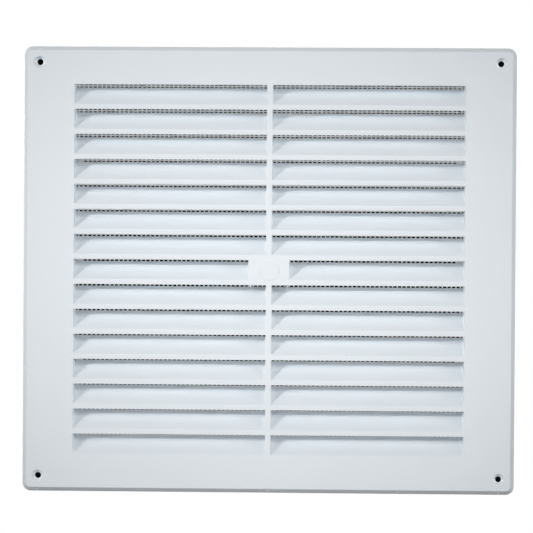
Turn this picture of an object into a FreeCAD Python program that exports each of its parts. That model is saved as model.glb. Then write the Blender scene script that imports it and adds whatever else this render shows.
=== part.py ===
import FreeCAD, Part
import math
import os
from FreeCAD import Vector

# Wall vent with fixed louvres and a fly-screen net behind them. Sizes are millimetres.
# X runs across the vent, Z is up, and Y runs from the room into the wall. The front faces -Y.
# The origin lies on the wall face (Y = 0), in the middle of the four screw holes.

# Flange: a flat skin with a bevelled edge and a rim that rests on the wall
SIDE_MARGIN = 27.4       # from the ends of the slots to the left and right edges
TOP_MARGIN = 20.51       # from the slots to the top and bottom edges
FRONT_OUT = 5.0          # the front face stands this far in front of the wall
SKIN = 2.0               # thickness of the flange
RIM_T = 2.0              # thickness of the rim round it
CORNER_R = 4.5           # corners of the outline, seen from the front
LEAST_R = 0.2            # no corner is sharper than this
BEVEL_W = 2.3            # bevelled edge, seen from the front
BEVEL_D = 2.6            # bevelled edge, seen from the side
SHOULDER_R = 1.2         # rounding where the bevel meets the rim

# Louvre field: rows of fixed blades in two columns
ROWS = 15
PITCH = 13.45            # from one row to the next
SLOT_L = 103.6           # length of a slot
MULLION_W = 3.0          # upright rib between the columns, at its front
BLADE_T = 2.0            # thickness of a blade
BLADE_ANGLE = 45.0       # rise of a blade from the horizontal, in degrees
SLIT = 0.95              # clear height between a blade's back edge and the lip above
END_DRAFT = 1.5          # lean of the slot ends, in degrees

# Frame that goes into the opening of the wall
FRAME_T = 2.0
HEAD_ROOM = 2.0          # the frame stands off this far above and below the slots

# Plate with a round disc, which fills the middle of the middle row
PANEL_W = 22.2
PANEL_T = 2.0
PANEL_WALL = 1.6         # end walls behind the plate
WEB_T = 1.0              # thin webs under those end walls
WEB_TIE = 0.6            # how far a web runs down the blade below
DISC_D = 11.0
DISC_H = 0.3
DISC_LIP = 0.7           # width of the raised ring round the disc
DISC_SINK = 0.15         # the middle of the disc lies this far below its ring

# Screw holes
HOLE_INSET = 8.5         # from the edges of the flange
HOLE_D = 3.3
SINK_D = 6.2             # mouth of the countersink
SINK_DEPTH = 2.4
BOSS_D = 8.0

# Ribs behind the flange
RIB_T = 1.2
RIB_CLEAR = 0.6          # the ribs stop short of the wall face
SIDE_RIB_ROWS = 4        # rows between one side rib and the next
TOP_RIB_STEP = 70.0      # distance between the top ribs, and the bottom ones

# Fly-screen net, cut into a plain grid of openings. Each takes up a group of meshes, and the
# bars between them keep their strands, so about half of the net is open, as on the real one
STRAND_W = 0.7
STRAND_H = 0.4           # height of a strand above the web of the net
WEB_H = 0.3              # thickness of the web itself
NET_INSET = 0.35         # the net's edge lies inside the frame's edge
ACROSS_COUNT = 12        # openings across the net
UP_COUNT = 10            # openings up the net
WIDE_COUNT = 5           # width of an opening, in meshes
TALL_COUNT = 7           # height of an opening, in meshes
STRAND_COUNT = 3         # strands in each bar

# Pins on the frame and the mullion, melted over the net
PIN_W = 1.5              # the pins are square, to fill one mesh each
PIN_GAP = 0.1            # clearance of the net on each side of a pin
HEAD_D = 9.5
HEAD_TOP_D = 6.5
HEAD_H = 0.9
PIN_ROWS = 4             # rows between the pins on the sides and the mullion
TOP_PIN_STEP = 70.0

PAST = 1.0               # what cuts a hole runs this far past the surface

# Worked out from the sizes above
SLOPE = math.tan(math.radians(BLADE_ANGLE))
LAND = BLADE_T / math.cos(math.radians(BLADE_ANGLE))
RISE = PITCH - LAND - SLIT
FIELD_D = RISE / SLOPE
SLOT_H = PITCH - LAND
FIELD_W = 2 * SLOT_L + MULLION_W
FIELD_H = ROWS * PITCH - LAND
PLATE_W = FIELD_W + 2 * SIDE_MARGIN
PLATE_H = FIELD_H + 2 * TOP_MARGIN
Y_FRONT = -FRONT_OUT
Y_SKIN = Y_FRONT + SKIN
Y_BACK = Y_FRONT + FIELD_D
LEAN = FIELD_D * math.tan(math.radians(END_DRAFT))
FRAME_W = FIELD_W + 2 * FRAME_T
FRAME_H = FIELD_H + 2 * (HEAD_ROOM + FRAME_T)
HOLE_X = PLATE_W / 2 - HOLE_INSET
HOLE_Z = PLATE_H / 2 - HOLE_INSET
NET_T = 2 * STRAND_H + WEB_H
MIDDLE_ROW = ROWS // 2


def block(x0, x1, y0, y1, z0, z1):
    """Box between two corners."""
    return Part.makeBox(x1 - x0, y1 - y0, z1 - z0, Vector(x0, y0, z0))


def round_outline(width, height, radius, y):
    """Upright rectangle with round corners, as a closed wire at depth y."""
    w = width / 2
    h = height / 2
    r = max(min(radius, w, h), LEAST_R)
    d = r * (1 - math.sqrt(0.5))
    edges = []
    corners = [(w, h), (-w, h), (-w, -h), (w, -h)]
    arcs = []
    for x, z in corners:
        sx = math.copysign(1, x)
        sz = math.copysign(1, z)
        side = Vector(x, y, z - sz * r)
        middle = Vector(x - sx * d, y, z - sz * d)
        level = Vector(x - sx * r, y, z)
        arcs.append((side, middle, level) if sx == sz else (level, middle, side))
    for i, (start, middle, end) in enumerate(arcs):
        following = arcs[(i + 1) % len(arcs)][0]
        edges.append(Part.Arc(start, middle, end).toShape())
        edges.append(Part.LineSegment(end, following).toShape())
    return Part.Wire(edges)


def plan_prism(points, z0, z1):
    """Prism over a polygon of (x, y) points, from height z0 to z1."""
    corners = [Vector(x, y, z0) for x, y in points]
    face = Part.Face(Part.makePolygon(corners + corners[:1]))
    return face.extrude(Vector(0, 0, z1 - z0))


def side_prism(points, x0, x1):
    """Prism over a polygon of (y, z) points, from x0 to x1."""
    corners = [Vector(x0, y, z) for y, z in points]
    face = Part.Face(Part.makePolygon(corners + corners[:1]))
    return face.extrude(Vector(x1 - x0, 0, 0))


def inward_cylinder(x, z, y0, y1, diameter):
    """Round bar along Y."""
    return Part.makeCylinder(diameter / 2, y1 - y0, Vector(x, y0, z), Vector(0, 1, 0))


def inward_cone(x, z, y0, y1, first_d, last_d):
    """Cone along Y, from one diameter to another."""
    return Part.makeCone(first_d / 2, last_d / 2, y1 - y0, Vector(x, y0, z), Vector(0, 1, 0))


def square_bar(x, z, y0, y1, width):
    """Square bar along Y."""
    half = width / 2
    return block(x - half, x + half, y0, y1, z - half, z + half)


def row_bottom(row):
    """Height of the front edge where the blade of a row starts. Row 0 is the lowest."""
    return -FIELD_H / 2 + row * PITCH


def slit_level(row):
    """Height of the middle of the slit over the blade of a row."""
    return row_bottom(row) + SLOT_H - SLIT / 2


def spread(count, step):
    """Places of count things, step apart, about the middle."""
    return [(i - (count - 1) / 2) * step for i in range(count)]


def flange():
    """Skin with its bevelled edge and rim, hollow at the back, with a window for the louvres."""
    y_bevel = Y_FRONT + BEVEL_D
    foot = round_outline(PLATE_W, PLATE_H, CORNER_R, 0)
    shoulder = round_outline(PLATE_W, PLATE_H, CORNER_R, y_bevel)
    front = round_outline(
        PLATE_W - 2 * BEVEL_W, PLATE_H - 2 * BEVEL_W, CORNER_R - BEVEL_W, Y_FRONT
    )
    rim = Part.makeLoft([foot, shoulder], True, True)
    cap = Part.makeLoft([shoulder, front], True, True)
    body = rim.fuse(cap).removeSplitter()
    body = body.makeFillet(SHOULDER_R, level_edges(body, y_bevel))

    inset = RIM_T + BEVEL_W * max(y_bevel - Y_SKIN, 0) / BEVEL_D
    y_step = max(y_bevel, Y_SKIN)
    mouth = hollow_outline(RIM_T, 0)
    step = hollow_outline(RIM_T, y_step)
    roof = hollow_outline(inset, Y_SKIN)
    hollow = Part.makeLoft([mouth, step], True, True)
    if y_step > Y_SKIN:
        hollow = hollow.fuse(Part.makeLoft([step, roof], True, True))
    window = block(-FIELD_W / 2, FIELD_W / 2, Y_FRONT - PAST, Y_BACK, -FIELD_H / 2, FIELD_H / 2)
    return body.cut(hollow).cut(window)


def hollow_outline(inset, y):
    """Inner outline of the flange, a wall's thickness inside the outer one."""
    return round_outline(PLATE_W - 2 * inset, PLATE_H - 2 * inset, CORNER_R - inset, y)


def level_edges(body, y):
    """Edges of a body that lie at one depth."""
    return [e for e in body.Edges if all(abs(v.Y - y) < 1e-6 for v in e.Vertexes)]


def leaning_box(half_width, half_height):
    """Block from the front face to the frame's back edge, with its sides leaning inwards."""
    plan = [
        (-half_width, Y_FRONT),
        (half_width, Y_FRONT),
        (half_width - LEAN, Y_BACK),
        (-half_width + LEAN, Y_BACK),
    ]
    return plan_prism(plan, -half_height, half_height)


def frame():
    """Four walls round the louvres, behind the flange."""
    inside = leaning_box(FIELD_W / 2, FIELD_H / 2 + HEAD_ROOM)
    return leaning_box(FRAME_W / 2, FRAME_H / 2).cut(inside)


def blade(row):
    """Sloping blade of one row, as wide as the frame. Its front edge is the bar seen from the room."""
    z = row_bottom(row)
    profile = [
        (Y_FRONT, z - LAND),
        (Y_FRONT, z),
        (Y_BACK, z + RISE),
        (Y_BACK, z + RISE - LAND),
    ]
    whole = side_prism(profile, -FRAME_W / 2, FRAME_W / 2)
    inside = leaning_box(FIELD_W / 2 + FRAME_T / 2, FRAME_H / 2)
    return whole.common(inside)


def mullion():
    """Upright rib between the two columns, thicker at its back."""
    half = MULLION_W / 2
    height = FIELD_H / 2 + HEAD_ROOM
    plan = [(-half, Y_FRONT), (half, Y_FRONT), (half + LEAN, Y_BACK), (-half - LEAN, Y_BACK)]
    return plan_prism(plan, -height, height)


def panel():
    """Plate in the middle row, with its end walls, its webs and the raised disc."""
    z = row_bottom(MIDDLE_ROW)
    half = PANEL_W / 2
    y_plate = Y_FRONT + PANEL_T
    face = block(-half, half, Y_FRONT, y_plate, z - LAND, z + SLOT_H + LAND / 2)
    channel = [
        (Y_FRONT, z),
        (Y_FRONT, z + SLOT_H),
        (Y_BACK, z + SLOT_H + RISE),
        (Y_BACK, z + RISE),
    ]
    slit_foot = z - LAND - SLIT
    under = [
        (y_plate, slit_foot),
        (y_plate, z - LAND + PANEL_T * SLOPE),
        (Y_BACK, z - LAND + RISE),
        (Y_BACK, slit_foot - WEB_TIE),
        (Y_BACK - WEB_TIE / SLOPE, slit_foot - WEB_TIE),
    ]
    pieces = [face]
    for side in (-1, 1):
        inner = side * (half - PANEL_WALL)
        plan = [
            (inner, Y_FRONT),
            (side * half, Y_FRONT),
            (side * (half + LEAN), Y_BACK),
            (inner, Y_BACK),
        ]
        wall = plan_prism(plan, z - PITCH, z + 2 * PITCH)
        pieces.append(wall.common(side_prism(channel, -PANEL_W, PANEL_W)))
        pieces.append(side_prism(under, inner, inner + side * WEB_T))
    rim = inward_cylinder(0, 0, Y_FRONT - DISC_H, Y_FRONT, DISC_D)
    dish = inward_cylinder(0, 0, Y_FRONT - DISC_H, Y_FRONT - DISC_H + DISC_SINK, DISC_D - 2 * DISC_LIP)
    pieces.append(rim.cut(dish))
    return pieces


def panel_pocket():
    """Space behind the plate, where the middle row has no blade."""
    z = row_bottom(MIDDLE_ROW)
    half = PANEL_W / 2 - PANEL_WALL
    return block(-half, half, Y_FRONT + PANEL_T, Y_BACK, z - LAND, z + SLOT_H)


def screw_places():
    """Middles of the four screw holes."""
    return [(sx * HOLE_X, sz * HOLE_Z) for sx in (-1, 1) for sz in (-1, 1)]


def bosses():
    """Round bosses behind the screw holes, each tied to the rim by two ribs."""
    y_root = Y_SKIN - SKIN / 2
    x_rim = PLATE_W / 2 - RIM_T / 2
    z_rim = PLATE_H / 2 - RIM_T / 2
    pieces = []
    for x, z in screw_places():
        pieces.append(inward_cylinder(x, z, y_root, 0, BOSS_D))
        xs = sorted((x, math.copysign(x_rim, x)))
        zs = sorted((z, math.copysign(z_rim, z)))
        pieces.append(block(*xs, y_root, -RIB_CLEAR, z - RIB_T / 2, z + RIB_T / 2))
        pieces.append(block(x - RIB_T / 2, x + RIB_T / 2, y_root, -RIB_CLEAR, *zs))
    return pieces


def ribs():
    """Low ribs behind the flange, from the frame to the rim."""
    y_root = Y_SKIN - SKIN / 2
    x_in = FRAME_W / 2 - FRAME_T / 2
    x_out = PLATE_W / 2 - RIM_T / 2
    z_in = FRAME_H / 2 - FRAME_T / 2
    z_out = PLATE_H / 2 - RIM_T / 2
    pieces = []
    for side in (-1, 1):
        xs = sorted((side * x_in, side * x_out))
        zs = sorted((side * z_in, side * z_out))
        for z in spread(3, SIDE_RIB_ROWS * PITCH):
            pieces.append(block(*xs, y_root, -RIB_CLEAR, z - RIB_T / 2, z + RIB_T / 2))
        for x in spread(3, TOP_RIB_STEP):
            pieces.append(block(x - RIB_T / 2, x + RIB_T / 2, y_root, -RIB_CLEAR, *zs))
    return pieces


def pin_places():
    """Middles of the pins: on the sides, on the mullion, and on the top and the bottom."""
    x_side = FRAME_W / 2 - FRAME_T / 2 - LEAN
    z_top = FRAME_H / 2 - FRAME_T / 2
    places = []
    for step in (-1, 0, 1):
        row = MIDDLE_ROW + step * PIN_ROWS
        places.append((-x_side, slit_level(row)))
        places.append((x_side, slit_level(row)))
        places.append((0, slit_level(row) - PITCH / 2))
        places.append((step * TOP_PIN_STEP, z_top))
        places.append((step * TOP_PIN_STEP, -z_top))
    return places


def pins():
    """Pins with their flat melted heads, behind the net."""
    y_net = Y_BACK + NET_T
    pieces = []
    for x, z in pin_places():
        pieces.append(square_bar(x, z, Y_BACK - FRAME_T / 2, y_net + HEAD_H / 2, PIN_W))
        pieces.append(inward_cone(x, z, y_net, y_net + HEAD_H, HEAD_D, HEAD_TOP_D))
    return pieces


def louvre_grille():
    """The whole moulding."""
    blades = [blade(row) for row in range(ROWS)]
    blades[MIDDLE_ROW] = blades[MIDDLE_ROW].cut(panel_pocket())
    body = flange().multiFuse([frame(), mullion()] + blades)
    body = body.multiFuse(panel() + bosses() + ribs())
    for x, z in screw_places():
        body = body.cut(inward_cylinder(x, z, Y_FRONT - PAST, PAST, HOLE_D))
        body = body.cut(inward_cone(x, z, Y_FRONT, Y_FRONT + SINK_DEPTH, SINK_D, HOLE_D))
    body = body.removeSplitter()
    return body.multiFuse(pins())


def mesh_size(length, openings, meshes):
    """Distance from one strand to the next, so that bars and openings just fill a side of the net."""
    steps = openings * (meshes + STRAND_COUNT - 1) + STRAND_COUNT - 1
    return (length - 2 * STRAND_W) / steps


def opening_places(mesh, openings, meshes):
    """Middles of the openings along one side of the net."""
    return spread(openings, (meshes + STRAND_COUNT - 1) * mesh)


def strand_places(mesh, openings, meshes):
    """Middles of the strands along one side of the net. They lie in the bars, beside the openings."""
    bars = spread(openings + 1, (meshes + STRAND_COUNT - 1) * mesh)
    return [bar + strand for bar in bars for strand in spread(STRAND_COUNT, mesh)]


def comb(length, strands, depth0, depth1, tip):
    """Outline of a web with strands on one side, as (place, depth) points along its length."""
    points = [(-length / 2, depth0), (-length / 2, depth1)]
    for place in strands:
        points.append((place - STRAND_W / 2, depth1))
        points.append((place - STRAND_W / 2, tip))
        points.append((place + STRAND_W / 2, tip))
        points.append((place + STRAND_W / 2, depth1))
    points.append((length / 2, depth1))
    points.append((length / 2, depth0))
    return points


def fly_screen():
    """Net with upright strands in front, level strands behind, and a grid of openings."""
    width = FRAME_W - 2 * LEAN - 2 * NET_INSET
    height = FRAME_H - 2 * NET_INSET
    across = (mesh_size(width, ACROSS_COUNT, WIDE_COUNT), ACROSS_COUNT, WIDE_COUNT)
    up = (mesh_size(height, UP_COUNT, TALL_COUNT), UP_COUNT, TALL_COUNT)
    y_end = Y_BACK + NET_T
    y_middle = Y_BACK + NET_T / 2
    upright = comb(width, strand_places(*across), y_middle, y_middle - WEB_H / 2, Y_BACK)
    level = comb(height, strand_places(*up), y_middle, y_middle + WEB_H / 2, y_end)
    net = plan_prism(upright, -height / 2, height / 2)
    net = net.fuse(side_prism([(y, z) for z, y in level], -width / 2, width / 2)).removeSplitter()
    half_w = (across[0] * WIDE_COUNT - STRAND_W) / 2
    half_h = (up[0] * TALL_COUNT - STRAND_W) / 2
    gaps = []
    for x in opening_places(*across):
        for z in opening_places(*up):
            gaps.append(block(x - half_w, x + half_w, Y_BACK, y_end, z - half_h, z + half_h))
    for x, z in pin_places():
        gaps.append(square_bar(x, z, Y_BACK, y_end, PIN_W + 2 * PIN_GAP))
    return net.cut(Part.makeCompound(gaps))


def single(shape):
    """The one solid that a piece is made of."""
    return shape.Solids[0] if len(shape.Solids) == 1 else shape


os.makedirs("parts", exist_ok=True)
for name, make in (("louvre_grille", louvre_grille), ("fly_screen", fly_screen)):
    piece = single(make())
    piece.exportStep(os.path.join("parts", name + ".step"))
    box = piece.BoundBox
    size = (round(box.XLength, 2), round(box.YLength, 2), round(box.ZLength, 2))
    print(name, "solids", len(piece.Solids), "valid", piece.isValid(), "size", size)
    print("  volume", round(piece.Volume / 1000, 2), "cm3, from y", round(box.YMin, 2), "to", round(box.YMax, 2))
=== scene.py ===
# %% [markdown]
# # A louvred wall vent in white plastic
#
# The vent is one moulding with fixed sloping blades, and a plastic net on its back that keeps
# insects out. Its solids come from the frame. This file gives them their soft edges, their
# finish, the open net, the light and the camera. Everything is in metres, with X across the
# vent, Z up and Y running into the wall.

# %% Load the frame
import math

import bmesh
import bpy
from mathutils import Matrix, Vector


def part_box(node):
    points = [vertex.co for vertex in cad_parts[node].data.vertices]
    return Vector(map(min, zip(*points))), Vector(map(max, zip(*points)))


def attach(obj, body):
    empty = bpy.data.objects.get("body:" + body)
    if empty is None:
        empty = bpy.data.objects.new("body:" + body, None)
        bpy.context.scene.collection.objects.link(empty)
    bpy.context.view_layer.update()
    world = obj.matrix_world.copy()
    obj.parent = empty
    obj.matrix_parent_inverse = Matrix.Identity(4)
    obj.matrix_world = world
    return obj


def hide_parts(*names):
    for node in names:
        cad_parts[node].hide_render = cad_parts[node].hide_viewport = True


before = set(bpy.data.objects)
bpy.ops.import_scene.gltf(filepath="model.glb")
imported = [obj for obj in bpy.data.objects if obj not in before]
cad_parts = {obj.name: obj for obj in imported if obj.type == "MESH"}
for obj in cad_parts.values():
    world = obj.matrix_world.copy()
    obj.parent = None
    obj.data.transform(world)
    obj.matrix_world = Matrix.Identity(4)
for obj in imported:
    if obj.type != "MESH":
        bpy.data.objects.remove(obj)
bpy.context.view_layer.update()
MM = 0.001
grille_low, grille_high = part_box("louvre_grille")
net_low, net_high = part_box("fly_screen")

# %% [markdown]
# ## The camera
#
# The picture was taken from straight in front, about a metre away, with a long lens, so the
# rows of blades look almost parallel. A camera can be placed by hand and turned until it looks
# right, but here it is set from what a photographer would know: how far away it stands, how
# far it is off the middle, and how much it leans.

# %% Camera
FRONT_Y = -5.0 * MM
CAMERA_DISTANCE = 0.98
CAMERA_AZIMUTH = math.radians(1.13)
CAMERA_ELEVATION = math.radians(0.42)
CAMERA_ROLL = math.radians(0.39)
CAMERA_LENS = 123.2
AIM = Vector((-1.24 * MM, FRONT_Y, 2.03 * MM))


def direction(azimuth, elevation):
    """Unit vector from the object towards a viewer or a lamp in front of it."""
    flat = math.cos(elevation)
    return Vector((math.sin(azimuth) * flat, -math.cos(azimuth) * flat, math.sin(elevation)))


def looking_at(place, target, roll=0.0):
    """Matrix that puts a lamp or a camera at a place, with its -Z axis on the target."""
    turn = (target - place).to_track_quat("-Z", "Y").to_matrix().to_4x4()
    return Matrix.Translation(place) @ turn @ Matrix.Rotation(roll, 4, "Z")


camera = bpy.data.objects.new("camera", bpy.data.cameras.new("camera"))
bpy.context.scene.collection.objects.link(camera)
camera.data.lens = CAMERA_LENS
camera.data.clip_start = 0.01
camera_place = AIM + direction(CAMERA_AZIMUTH, CAMERA_ELEVATION) * CAMERA_DISTANCE
camera.matrix_world = looking_at(camera_place, AIM, CAMERA_ROLL)
bpy.context.scene.camera = camera
print("camera at", [round(v, 3) for v in camera_place])

# %% [markdown]
# ## The light
#
# White plastic shows its shape only through small differences of tone. Every lip throws the
# same thin shadow, so most lamps stand a little higher than the vent. The small key lamp on
# the left draws the slanting shadow at the left end of every slot, and the larger ones blur
# theirs. A low lamp fills the shaded band under each lip. The grids on the lamps narrow their
# beams, which lets the light fall off towards the edges of the flange. Two more lamps behind
# the vent show its back when it is turned round.

# %% Lamps
def lamp(name, azimuth, elevation, distance, size, beam, power):
    """Square area lamp that faces the vent. Angles are in degrees, lengths in metres."""
    data = bpy.data.lights.new(name, "AREA")
    data.shape = "SQUARE"
    data.size = size
    data.spread = math.radians(beam)
    data.energy = power
    made = bpy.data.objects.new(name, data)
    bpy.context.scene.collection.objects.link(made)
    place = direction(math.radians(azimuth), math.radians(elevation)) * distance
    made.matrix_world = looking_at(place, Vector((0, 0, 0)))
    made.visible_camera = False
    print("lamp", name, round(power, 2), "W at", [round(v, 2) for v in place])
    return made


lamp("key", -48, 13, 2.0, 0.08, 22, 0.265)
lamp("low", 0, -6, 2.0, 0.3, 22, 0.125)
lamp("right", 40, 14, 2.0, 0.35, 22, 0.088)
lamp("side_left", -65, 8, 1.6, 0.3, 30, 0.06)
lamp("side_right", 65, 8, 1.6, 0.3, 30, 0.205)
lamp("front_high", 0, 32, 2.0, 0.3, 22, 0.09)
lamp("back_left", 145, 22, 2.0, 0.4, 22, 0.24)
lamp("back_right", 220, 12, 2.0, 0.4, 22, 0.14)

# %% [markdown]
# ## The background
#
# The picture's ground is plain white. The world gives the vent a weak even light. It is pure
# white only where it is seen, straight or as a reflection, so it can be bright without
# flooding the vent with light.

# %% World
WORLD_LIGHT = 0.04


def add_link(tree, start, out_name, end, in_name):
    """Wire from one node's output to another node's input."""
    tree.links.new(start.outputs[out_name], end.inputs[in_name])


def rays_that_show(tree):
    """Node that gives 1 to the rays that show the background: straight, glossy or through glass."""
    path = tree.nodes.new("ShaderNodeLightPath")
    shown = path.outputs["Is Camera Ray"]
    for other in ("Is Glossy Ray", "Is Transmission Ray"):
        either = tree.nodes.new("ShaderNodeMath")
        either.operation = "MAXIMUM"
        tree.links.new(shown, either.inputs[0])
        tree.links.new(path.outputs[other], either.inputs[1])
        shown = either.outputs["Value"]
    return either


world = bpy.data.worlds.new("studio")
bpy.context.scene.world = world
world.use_nodes = True
tree = world.node_tree
tree.nodes.clear()
strength = tree.nodes.new("ShaderNodeMapRange")
strength.inputs["To Min"].default_value = WORLD_LIGHT
strength.inputs["To Max"].default_value = 1.0
sky = tree.nodes.new("ShaderNodeBackground")
sky.inputs["Color"].default_value = (1, 1, 1, 1)
add_link(tree, rays_that_show(tree), "Value", strength, "Value")
add_link(tree, strength, "Result", sky, "Strength")
add_link(tree, sky, "Background", tree.nodes.new("ShaderNodeOutputWorld"), "Surface")
bpy.context.scene.view_settings.view_transform = "Standard"
print("world light", WORLD_LIGHT)

# %% [markdown]
# ## The floor
#
# The vent hangs over a wide pale floor that lies below the picture, so it shows only from other
# sides. Its paint glows weakly where it is seen, and keeps whatever shadow falls on it.

# %% Floor
FLOOR_Z = -0.42
FLOOR_SIZE = 3.0
FLOOR_GLOW = 0.62
FLOOR_WHITE = 0.9


def new_object(name, mesh, material):
    """Object made from a bmesh, which is used up."""
    data = bpy.data.meshes.new(name)
    mesh.to_mesh(data)
    mesh.free()
    data.materials.append(material)
    made = bpy.data.objects.new(name, data)
    bpy.context.scene.collection.objects.link(made)
    return made


def pale_floor():
    """Matt pale paint that glows where it is seen, so that it fades into the background."""
    made = bpy.data.materials.new("pale_floor")
    made.use_nodes = True
    tree = made.node_tree
    shader = tree.nodes["Principled BSDF"]
    shader.inputs["Base Color"].default_value = (FLOOR_WHITE, FLOOR_WHITE, FLOOR_WHITE, 1)
    shader.inputs["Roughness"].default_value = 0.9
    shader.inputs["Emission Color"].default_value = (FLOOR_GLOW, FLOOR_GLOW, FLOOR_GLOW, 1)
    add_link(tree, rays_that_show(tree), "Value", shader, "Emission Strength")
    return made


floor_mesh = bmesh.new()
bmesh.ops.create_grid(floor_mesh, x_segments=1, y_segments=1, size=FLOOR_SIZE / 2)
bmesh.ops.translate(floor_mesh, verts=floor_mesh.verts, vec=(0, 0, FLOOR_Z))
floor = new_object("floor", floor_mesh, pale_floor())
print("floor", FLOOR_SIZE, "m wide, at height", FLOOR_Z)

# %% [markdown]
# ## White moulded plastic
#
# The mould was polished but not mirror-bright, so the plastic has a soft gloss. Its surface is
# never quite even. It sank a little as it cooled, and its colour is a shade uneven. Both are
# slow, faint noises, made once as a node group for both plastics.

# %% Uneven surface, shared by both plastics
DULLNESS = (0.38, 0.50)
FINE_GRAIN = 700.0


def moulded_surface():
    """Slow unevenness of a moulding: a tint, a roughness and a height."""
    group = bpy.data.node_groups.new("moulded_surface", "ShaderNodeTree")
    group.interface.new_socket("Scale", in_out="INPUT", socket_type="NodeSocketFloat")
    group.interface.new_socket("Tint", in_out="OUTPUT", socket_type="NodeSocketFloat")
    group.interface.new_socket("Roughness", in_out="OUTPUT", socket_type="NodeSocketFloat")
    group.interface.new_socket("Height", in_out="OUTPUT", socket_type="NodeSocketFloat")
    inputs = group.nodes.new("NodeGroupInput")
    outputs = group.nodes.new("NodeGroupOutput")
    where = group.nodes.new("ShaderNodeTexCoord")
    slow = group.nodes.new("ShaderNodeTexNoise")
    slow.inputs["Detail"].default_value = 3.0
    add_link(group, where, "Object", slow, "Vector")
    add_link(group, inputs, "Scale", slow, "Scale")
    add_link(group, slow, "Fac", outputs, "Tint")
    spread = group.nodes.new("ShaderNodeMapRange")
    spread.inputs["To Min"].default_value = DULLNESS[0]
    spread.inputs["To Max"].default_value = DULLNESS[1]
    add_link(group, slow, "Fac", spread, "Value")
    add_link(group, spread, "Result", outputs, "Roughness")
    fine = group.nodes.new("ShaderNodeTexNoise")
    fine.inputs["Scale"].default_value = FINE_GRAIN
    fine.inputs["Detail"].default_value = 2.0
    add_link(group, where, "Object", fine, "Vector")
    add_link(group, fine, "Fac", outputs, "Height")
    return group


MOULDED_SURFACE = moulded_surface()
print("unevenness gives", [item.name for item in MOULDED_SURFACE.interface.items_tree])

# %% [markdown]
# ### The two plastics
#
# The moulding is a cold white and the net a warmer one, because they are two plastics. Each
# could be one flat colour. Here it wanders between two near shades, driven by the same slow
# noise as its gloss, and a faint grain turns the light a little.

# %% Plastics made from it
PLASTIC_IOR = 1.46
GRAIN_DEPTH = 0.02 * MM


def plastic(name, light_colour, deep_colour, scale, bump):
    """Moulded plastic whose colour wanders between two near shades."""
    made = bpy.data.materials.new(name)
    made.use_nodes = True
    tree = made.node_tree
    shader = tree.nodes["Principled BSDF"]
    shader.inputs["IOR"].default_value = PLASTIC_IOR
    surface = tree.nodes.new("ShaderNodeGroup")
    surface.node_tree = MOULDED_SURFACE
    surface.inputs["Scale"].default_value = scale
    shade = tree.nodes.new("ShaderNodeMix")
    shade.data_type = "RGBA"
    shade.inputs["A"].default_value = (*light_colour, 1)
    shade.inputs["B"].default_value = (*deep_colour, 1)
    add_link(tree, surface, "Tint", shade, "Factor")
    tree.links.new(shade.outputs["Result"], shader.inputs["Base Color"])
    add_link(tree, surface, "Roughness", shader, "Roughness")
    relief = tree.nodes.new("ShaderNodeBump")
    relief.inputs["Strength"].default_value = bump
    relief.inputs["Distance"].default_value = GRAIN_DEPTH
    add_link(tree, surface, "Height", relief, "Height")
    add_link(tree, relief, "Normal", shader, "Normal")
    return made


WHITE = plastic("white_plastic", (0.87, 0.92, 0.96), (0.855, 0.908, 0.95), 25.0, 0.25)
NET_WHITE = plastic("net_plastic", (0.94, 0.94, 0.93), (0.91, 0.91, 0.90), 40.0, 0.3)
print("materials", WHITE.name, NET_WHITE.name)

# %% [markdown]
# ## The moulding, with its edges softened
#
# No edge of a moulding is sharp: the tool that cut the mould leaves a small radius, and it is
# this radius that catches the light along every lip. The frame's solid has the right shape with
# sharp edges. Its mesh is loose triangles, so a copy of it is joined up first, and its flat
# faces are made whole. Then the sharp edges that face the room can be bevelled.

# %% Copy and join
SHARP = math.radians(25)
FLAT = math.radians(0.5)
SAME_PLACE = 0.002 * MM
LEVEL = 0.01 * MM
FACING_BACK = 0.99


def joined_copy(node):
    """Mesh of a node with its doubles merged and its flat faces whole."""
    mesh = bmesh.new()
    mesh.from_mesh(bpy.data.objects[node].data)
    bmesh.ops.remove_doubles(mesh, verts=mesh.verts, dist=SAME_PLACE)
    bmesh.ops.dissolve_limit(
        mesh,
        angle_limit=FLAT,
        verts=mesh.verts,
        edges=mesh.edges,
        use_dissolve_boundaries=False,
    )
    return mesh


def sharp_edges(mesh):
    """Edges of a mesh where its surface turns sharply."""
    return [e for e in mesh.edges if len(e.link_faces) == 2 and e.calc_face_angle() > SHARP]


moulding = joined_copy("louvre_grille")
back_faces = [f.calc_center_median() for f in moulding.faces if f.normal.y > FACING_BACK]
pins = [middle for middle in back_faces if middle.y > grille_high.y - LEVEL]
print("joined into", len(moulding.faces), "faces with", len(sharp_edges(moulding)), "sharp edges")
print("melted pins", len(pins))

# %% [markdown]
# ### The heads over the first row
#
# The pins were melted with a flat hot tool. The three on the top wall stand close to the first
# slot, so their heads are cut flat just above it: nothing of them shows between the blades. A
# plane cuts each head, and one new face closes it.

# %% Heads cut flat above the first slot
SLOT_TOP = 101.0 * MM
HEAD_ROOM = 5.0 * MM


def near(place, pin, reach):
    """Whether a place lies in a square round a pin, seen along the pin."""
    return max(abs(place.x - pin.x), abs(place.z - pin.z)) < reach


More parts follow.
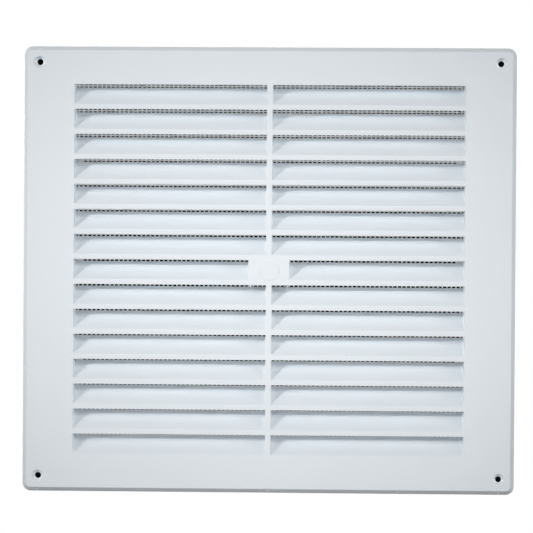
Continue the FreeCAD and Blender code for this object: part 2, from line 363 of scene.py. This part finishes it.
behind_net = [v for v in moulding.verts if v.co.y > net_high.y - LEVEL]
for pin in [pin for pin in pins if pin.z > SLOT_TOP]:
    head = [v for v in behind_net if v.is_valid and near(v.co, pin, HEAD_ROOM)]
    whole = set(head)
    head_edges = [e for e in moulding.edges if whole.issuperset(e.verts)]
    head_faces = [f for f in moulding.faces if whole.issuperset(f.verts)]
    cut = bmesh.ops.bisect_plane(
        moulding,
        geom=head + head_edges + head_faces,
        plane_co=(0, 0, SLOT_TOP),
        plane_no=(0, 0, -1),
        clear_outer=True,
    )
    rim = [item for item in cut["geom_cut"] if isinstance(item, bmesh.types.BMEdge)]
    bmesh.ops.contextual_create(moulding, geom=rim)
    print("head at", [round(v / MM, 1) for v in pin], "cut along", len(rim), "edges")

open_edges = [e for e in moulding.edges if len(e.link_faces) != 2]
print("open edges", len(open_edges))

# %% [markdown]
# ### Rounding the edges that face the room
#
# One bevel of every edge would clamp its radius to what fits in the tightest spot, which here
# is next to nothing. So the clamp stays off, and each edge is measured first: it is rounded
# only if the edges beside it are long enough. The wide radius goes first, and then a narrow
# one rounds what is left. The ribs behind are left sharp, because nobody sees them from the
# room.

# %% Room beside an edge
ALONG = math.radians(35)


def room_beside(edge, sharp):
    """Length that is free for rounding an edge, from the edges that leave it at a corner."""
    lengths = []
    for corner in edge.verts:
        outwards = corner.co - edge.other_vert(corner).co
        for other in corner.link_edges:
            turn = outwards.angle(other.other_vert(corner).co - corner.co)
            if other is edge or turn < ALONG:
                continue
            lengths.append(other.calc_length())
            if other in sharp:
                lengths.append(edge.calc_length() if turn < math.pi - ALONG else 0.0)
    return min(lengths, default=edge.calc_length())


all_sharp = set(sharp_edges(moulding))
rooms = sorted(room_beside(e, all_sharp) for e in all_sharp)
print("half of the edges have less room than", round(rooms[len(rooms) // 2] / MM, 2), "mm")

# %% Rounding
RADII = (0.22 * MM, 0.1 * MM)
SEEN_DEPTH = -1.0 * MM
ROOM_IN_RADII = 2.2

strips = set()
for radius in RADII:
    sharp = set(sharp_edges(moulding))
    seen = [e for e in sharp if max(v.co.y for v in e.verts) < SEEN_DEPTH]
    wide = [e for e in seen if room_beside(e, sharp) > ROOM_IN_RADII * radius]
    made = bmesh.ops.bevel(
        moulding,
        geom=wide,
        offset=radius,
        segments=2,
        profile=0.5,
        affect="EDGES",
        material=-1,
        clamp_overlap=False,
    )
    bmesh.ops.remove_doubles(moulding, verts=moulding.verts, dist=SAME_PLACE)
    strips.update(f for f in made["faces"] if f.is_valid)
    print("rounded", len(wide), "of", len(seen), "edges in front by", round(radius / MM, 2), "mm")

# %% [markdown]
# ### Flat faces and round edges
#
# Smooth shading would spread the tone of a narrow radius over the wide face beside it, and a
# flat flange would look dented. So the edges round every wide face and beside every rounded
# strip are marked sharp, and only what is really curved is shaded as a curve.

# %% Smooth and sharp edges
FLAT_AREA = 20.0 * MM * MM

for face in moulding.faces:
    face.smooth = True
creases = set(sharp_edges(moulding))
for edge in moulding.edges:
    curved = all(f.calc_area() < FLAT_AREA for f in edge.link_faces)
    alike = len([f for f in edge.link_faces if f in strips]) != 1
    edge.smooth = curved and alike and edge not in creases
print("edges shaded as curves", len([e for e in moulding.edges if e.smooth]))


# %% The finished moulding
def dress(piece, node):
    """Hangs a piece under the root body, hides the frame's node it stands for, and prints its size.
    """
    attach(piece, "root")
    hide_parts(node)
    print(piece.name, len(piece.data.vertices), "vertices", len(piece.data.polygons), "faces")


dress(new_object("louvre_grille_soft", moulding, WHITE), "louvre_grille")

# %% [markdown]
# ## The net
#
# The real net is squeezed out as a sheet of strands that are already joined at their crossings.
# A grid with every cell inset and its middle taken out has exactly that shape. It is cut to the
# size of the net as one would cut it from the roll, so its edges end in short stubs. Where a pin
# goes through, the strands were melted away.

# %% Flat sheet of joined strands
MESH_WIDTH = 2.44 * MM
MESH_HEIGHT = 2.235 * MM
STRAND = 0.7 * MM
NET_COLUMNS = 89
NET_ROWS = 95
PIN_ROOM = 1.46 * MM


def flat_net():
    """Sheet of joined strands, lying in X and Y, cut to the net's size."""
    mesh = bmesh.new()
    bmesh.ops.create_grid(mesh, x_segments=NET_COLUMNS, y_segments=NET_ROWS, size=0.5)
    bmesh.ops.scale(mesh, verts=mesh.verts, vec=(NET_COLUMNS * MESH_WIDTH, NET_ROWS * MESH_HEIGHT, 1))
    cells = mesh.faces[:]
    bmesh.ops.inset_individual(mesh, faces=cells, thickness=STRAND / 2, use_even_offset=True)
    bmesh.ops.delete(mesh, geom=cells, context="FACES")
    for place, outwards in (
        ((net_low.x, 0, 0), (-1, 0, 0)),
        ((net_high.x, 0, 0), (1, 0, 0)),
        ((0, net_low.z, 0), (0, -1, 0)),
        ((0, net_high.z, 0), (0, 1, 0)),
    ):
        whole = mesh.verts[:] + mesh.edges[:] + mesh.faces[:]
        bmesh.ops.bisect_plane(mesh, geom=whole, plane_co=place, plane_no=outwards, clear_outer=True)
    return mesh


def melted_away(face):
    """Whether a face of the flat net lies where a pin goes through."""
    places = [face.calc_center_median()] + [v.co for v in face.verts]
    upright = [Vector((place.x, 0, place.y)) for place in places]
    return any(near(place, pin, PIN_ROOM) for place in upright for pin in pins)


net_mesh = flat_net()
melted = [f for f in net_mesh.faces if melted_away(f)]
bmesh.ops.delete(net_mesh, geom=melted, context="FACES")
print("net of", len(net_mesh.faces), "faces,", len(melted), "melted away")

# %% [markdown]
# ### Thick strands
#
# A strand leaves its nozzle rounded, so it is thicker along its middle than at its edges.
# Solidify first gives the sheet the thickness of the edges. The vertices along the middle of a
# strand are the ones where more than four edges meet, and they are then lifted on both sides.

# %% Thickness and rounding of the strands
NET_THICKNESS = 1.0 * MM
EDGE_THICKNESS = 0.7 * MM
MIDDLE_LINKS = 4

bmesh.ops.solidify(net_mesh, geom=net_mesh.faces[:], thickness=EDGE_THICKNESS)
bmesh.ops.recalc_face_normals(net_mesh, faces=net_mesh.faces)
heights = [v.co.z for v in net_mesh.verts]
middle_height = (min(heights) + max(heights)) / 2
middles = [v for v in net_mesh.verts if len(v.link_edges) > MIDDLE_LINKS]
for side in (-1, 1):
    raised = [v for v in middles if (v.co.z - middle_height) * side > 0]
    lift = side * (NET_THICKNESS - EDGE_THICKNESS) / 2
    bmesh.ops.translate(net_mesh, verts=raised, vec=(0, 0, lift))
bmesh.ops.translate(net_mesh, verts=net_mesh.verts, vec=(0, 0, -middle_height))
bmesh.ops.rotate(net_mesh, verts=net_mesh.verts, matrix=Matrix.Rotation(math.radians(90), 3, "X"))
bmesh.ops.translate(net_mesh, verts=net_mesh.verts, vec=(0, (net_low.y + net_high.y) / 2, 0))
dress(new_object("fly_screen_net", net_mesh, NET_WHITE), "fly_screen")

# %% [markdown]
# ## Painted shade behind the vent
#
# Behind a vent lies the opening in the wall, and it is dark, as are the drilled holes behind the
# screw holes: little light reaches into either, so both lie in shade. Thin sheets of painted
# shade just behind the net and behind the holes stand for both. They face the room and only
# the camera sees them, so they hide nothing from the back and stop no light.

# %% Shades
SHADE_GAP = 0.5 * MM
HOLE_SHADE = 1.62 * MM
HOLE_PLACE = Vector((124.0 * MM, -2.5 * MM, 111.47 * MM))
HOLE_SIDES = 24
# Colour of the painted shade, a near-black glow.
PAINTED_SHADE = (0.0035, 0.003, 0.0025, 1)


def painted_shade_for_the_room():
    """Painted shade: a near-black glow that shows to the camera from its front side alone."""
    made = bpy.data.materials.new("dark_opening")
    made.use_nodes = True
    tree = made.node_tree
    tree.nodes.clear()
    dark = tree.nodes.new("ShaderNodeEmission")
    dark.inputs["Color"].default_value = PAINTED_SHADE
    clear = tree.nodes.new("ShaderNodeBsdfTransparent")
    path = tree.nodes.new("ShaderNodeLightPath")
    facing = tree.nodes.new("ShaderNodeNewGeometry")
    shows = tree.nodes.new("ShaderNodeMath")
    shows.operation = "SUBTRACT"
    shows.use_clamp = True
    tree.links.new(path.outputs["Is Camera Ray"], shows.inputs[0])
    tree.links.new(facing.outputs["Backfacing"], shows.inputs[1])
    mix = tree.nodes.new("ShaderNodeMixShader")
    tree.links.new(shows.outputs[0], mix.inputs[0])
    tree.links.new(clear.outputs[0], mix.inputs[1])
    tree.links.new(dark.outputs[0], mix.inputs[2])
    add_link(tree, mix, "Shader", tree.nodes.new("ShaderNodeOutputMaterial"), "Surface")
    return made


shades = bmesh.new()
net_size = net_high - net_low
facing_room = Matrix.Rotation(math.radians(90), 4, "X")
shade_place = Matrix.Translation((0, grille_high.y + SHADE_GAP, 0))
shade_shape = shade_place @ facing_room @ Matrix.Diagonal((net_size.x, net_size.z, 1, 1))
bmesh.ops.create_grid(shades, x_segments=1, y_segments=1, size=0.5, matrix=shade_shape)
for side_x in (-1, 1):
    for side_z in (-1, 1):
        place = Vector((side_x * HOLE_PLACE.x, HOLE_PLACE.y, side_z * HOLE_PLACE.z))
        bmesh.ops.create_circle(
            shades,
            cap_ends=True,
            segments=HOLE_SIDES,
            radius=HOLE_SHADE,
            matrix=Matrix.Translation(place) @ facing_room,
        )
# Sheets of painted shade behind the net and the four screw holes.
new_object("dark_opening", shades, painted_shade_for_the_room())
print("shades behind the net and the four holes")
